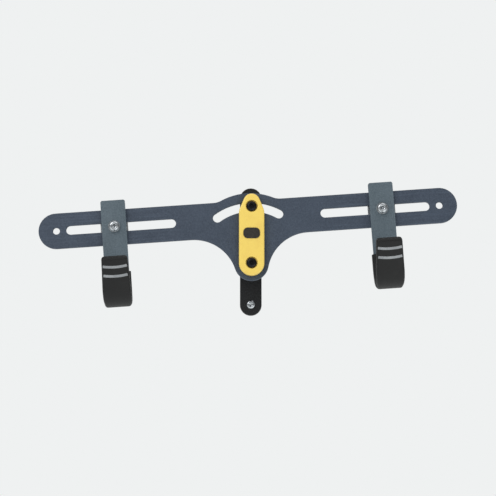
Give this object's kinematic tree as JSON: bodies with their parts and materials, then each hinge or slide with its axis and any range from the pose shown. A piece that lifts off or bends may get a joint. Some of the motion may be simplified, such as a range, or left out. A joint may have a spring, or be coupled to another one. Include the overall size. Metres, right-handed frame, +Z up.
{
  "type": "bicycle wall rack",
  "caption": "Wall rack for a bicycle: a tilting slotted bar on a wall strip, with a cover plate that clamps the tilt and sliding J hooks in rubber sleeves.",
  "frame": {"origin": "on the wall, at the back face of the wall strip, midway between the two wall screws", "axes": "+X to the right along the wall, +Y into the wall, +Z up"},
  "size_m": [0.4275, 0.1551, 0.1355],
  "materials": {
    "strip_paint": "satin black powder coat on steel",
    "bar_paint": "fine textured blue-grey powder coat on steel",
    "hanger_paint": "fine textured lighter grey powder coat on steel",
    "cover_paint": "semi-gloss yellow powder coat",
    "label": "plain dark label",
    "black_steel": "black oxide",
    "zinc_steel": "zinc plated",
    "bush_bronze": "sintered bronze",
    "nylon": "black nylon",
    "sleeve_rubber": "matt moulded"
  },
  "bodies": {
    "wall_frame": {"wall_strip": "strip_paint", "wall_screws": "zinc_steel", "post_screws": "zinc_steel", "pivot_post": "black_steel", "clamp_post": "black_steel", "cover_plate": "cover_paint", "cover_label": "label", "pivot_screw": "black_steel", "pivot_washer": "nylon", "clamp_washers": "nylon"},
    "bar": {"tilt_bar": "bar_paint", "pivot_bush": "bush_bronze"},
    "clamp_screw": {"clamp_screw": "black_steel"},
    "left_hanger": {"hanger_left": "hanger_paint", "hook_sleeve_left": "sleeve_rubber", "slide_nut_left": "zinc_steel", "hanger_washer_left": "zinc_steel"},
    "right_hanger": {"hanger_right": "hanger_paint", "hook_sleeve_right": "sleeve_rubber", "slide_nut_right": "zinc_steel", "hanger_washer_right": "zinc_steel"},
    "left_hanger_screw": {"hanger_screw_left": "zinc_steel"},
    "right_hanger_screw": {"hanger_screw_right": "zinc_steel"}
  },
  "joints": [
    {"name": "bar_tilt", "type": "hinge", "parent": "wall_frame", "child": "bar", "pos_m": [0, -0.04955, -0.02], "axis": [0, 1, 0], "range_deg": [-29.5, 37.5]},
    {"name": "clamp_screw_turn", "type": "hinge", "parent": "wall_frame", "child": "clamp_screw", "pos_m": [0, -0.05575, 0.0385], "axis": [0, 1, 0], "range_deg": [-360, 0]},
    {"name": "hanger_left_slide", "type": "slide", "parent": "bar", "child": "left_hanger", "axis": [-0.9975, 0, -0.0708], "range_m": [-0.0527, 0.0387]},
    {"name": "hanger_right_slide", "type": "slide", "parent": "bar", "child": "right_hanger", "axis": [0.9975, 0, 0.0708], "range_m": [-0.0527, 0.0387]},
    {"name": "hanger_screw_left_turn", "type": "hinge", "parent": "left_hanger", "child": "left_hanger_screw", "pos_m": [-0.13998, -0.0572, 0.01718], "axis": [0, 1, 0], "range_deg": [-360, 0]},
    {"name": "hanger_screw_right_turn", "type": "hinge", "parent": "right_hanger", "child": "right_hanger_screw", "pos_m": [0.13333, -0.0572, 0.03658], "axis": [0, 1, 0], "range_deg": [-360, 0]}
  ]
}
